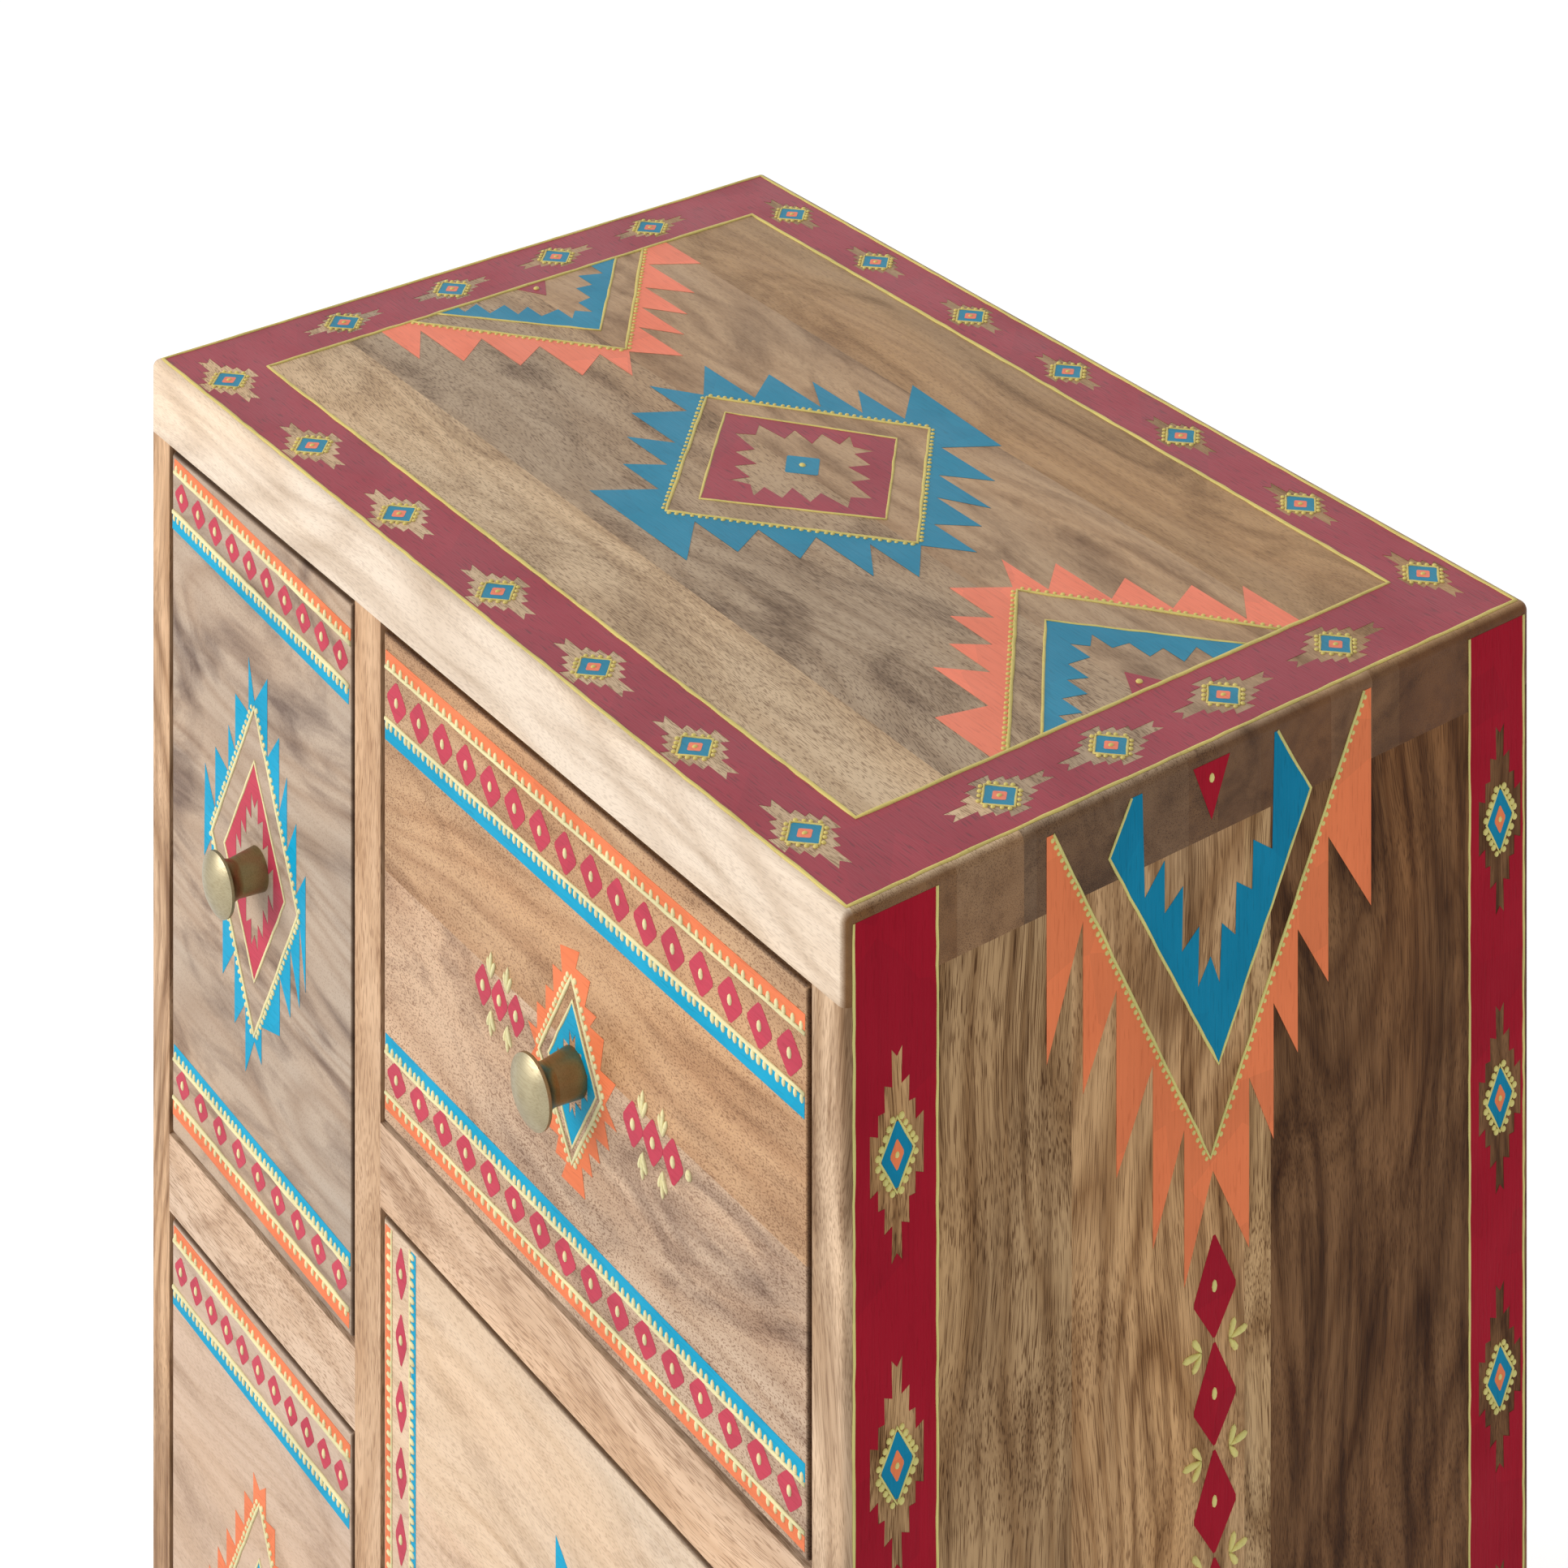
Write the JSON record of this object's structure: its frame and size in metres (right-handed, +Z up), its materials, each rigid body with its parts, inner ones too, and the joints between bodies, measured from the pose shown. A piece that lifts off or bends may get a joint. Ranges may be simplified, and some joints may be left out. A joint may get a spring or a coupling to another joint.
{
  "type": "side cabinet",
  "caption": "Small wooden side cabinet with a left column of drawers, a wide drawer over a hinged door, brass knobs and painted kilim-style ornament.",
  "frame": {"origin": "on the floor, in the middle of the box that the cabinet and its knobs fill", "axes": "+Z up, front towards -Y, +X to the right seen from the front"},
  "size_m": [0.45, 0.321, 0.7],
  "materials": {
    "case_wood": "satin lacquered mango wood, painted ornament",
    "front_wood": "satin lacquered mango wood, painted ornament",
    "inner_wood": "raw planed wood",
    "drawer_wood": "raw planed wood",
    "dowel_wood": "raw beech",
    "plywood": "raw plywood",
    "knob_brass": "aged brass, lightly brushed",
    "hinge_brass": "aged brass",
    "screw_steel": "zinc plated",
    "plate_steel": "plain steel",
    "magnet": "plain ferrite",
    "catch_plastic": "brown moulded",
    "crimson_paint": "satin hand-painted acrylic",
    "blue_paint": "satin hand-painted acrylic",
    "orange_paint": "satin hand-painted acrylic",
    "yellow_paint": "raised cone-drawn paint line",
    "glide_plastic": "dark felt-like plastic"
  },
  "bodies": {
    "case": {"top_board": "case_wood", "bottom_board": "case_wood", "left_side_panel": "case_wood", "right_side_panel": "case_wood", "centre_partition": "case_wood", "left_rail": "case_wood", "right_rail": "case_wood", "front_left_foot": "case_wood", "front_right_foot": "case_wood", "rear_left_foot": "case_wood", "rear_right_foot": "case_wood", "back_panel": "plywood", "left_drawer_runners": "inner_wood", "right_drawer_runners": "inner_wood", "drawer_stops": "inner_wood", "case_dowels": "dowel_wood", "rail_dowels": "dowel_wood", "back_screws": "screw_steel", "runner_screws": "screw_steel", "foot_screws": "screw_steel", "foot_glides": "glide_plastic", "hinge_case_leaves": "hinge_brass", "hinge_pins": "hinge_brass", "hinge_case_screws": "hinge_brass", "catch_housing": "catch_plastic", "catch_magnet": "magnet", "catch_screws": "screw_steel"},
    "door": {"door_panel": "front_wood", "door_battens": "inner_wood", "batten_screws": "screw_steel", "hinge_door_leaves": "hinge_brass", "hinge_door_screws": "hinge_brass", "door_knob": "knob_brass", "door_knob_bolt": "screw_steel", "strike_plate": "plate_steel", "strike_screw": "hinge_brass"},
    "left_upper_drawer": {"left_upper_drawer_front": "front_wood", "left_upper_drawer_left_side": "drawer_wood", "left_upper_drawer_right_side": "drawer_wood", "left_upper_drawer_back": "drawer_wood", "left_upper_drawer_bottom": "plywood", "left_upper_drawer_knob": "knob_brass", "left_upper_drawer_knob_bolt": "screw_steel"},
    "left_lower_drawer": {"left_lower_drawer_front": "front_wood", "left_lower_drawer_left_side": "drawer_wood", "left_lower_drawer_right_side": "drawer_wood", "left_lower_drawer_back": "drawer_wood", "left_lower_drawer_bottom": "plywood", "left_lower_drawer_knob": "knob_brass", "left_lower_drawer_knob_bolt": "screw_steel"},
    "right_drawer": {"right_drawer_front": "front_wood", "right_drawer_left_side": "drawer_wood", "right_drawer_right_side": "drawer_wood", "right_drawer_back": "drawer_wood", "right_drawer_bottom": "plywood", "right_drawer_knob": "knob_brass", "right_drawer_knob_bolt": "screw_steel"}
  },
  "joints": [
    {"name": "door_hinge", "type": "hinge", "parent": "case", "child": "door", "pos_m": [0.2077, -0.1431, 0.2825], "axis": [0, 0, 1], "range_deg": [0, 170]},
    {"name": "left_upper_drawer_slide", "type": "slide", "parent": "case", "child": "left_upper_drawer", "axis": [0, -1, 0], "range_m": [0, 0.19]},
    {"name": "left_lower_drawer_slide", "type": "slide", "parent": "case", "child": "left_lower_drawer", "axis": [0, -1, 0], "range_m": [0, 0.19]},
    {"name": "right_drawer_slide", "type": "slide", "parent": "case", "child": "right_drawer", "axis": [0, -1, 0], "range_m": [0, 0.19]}
  ]
}
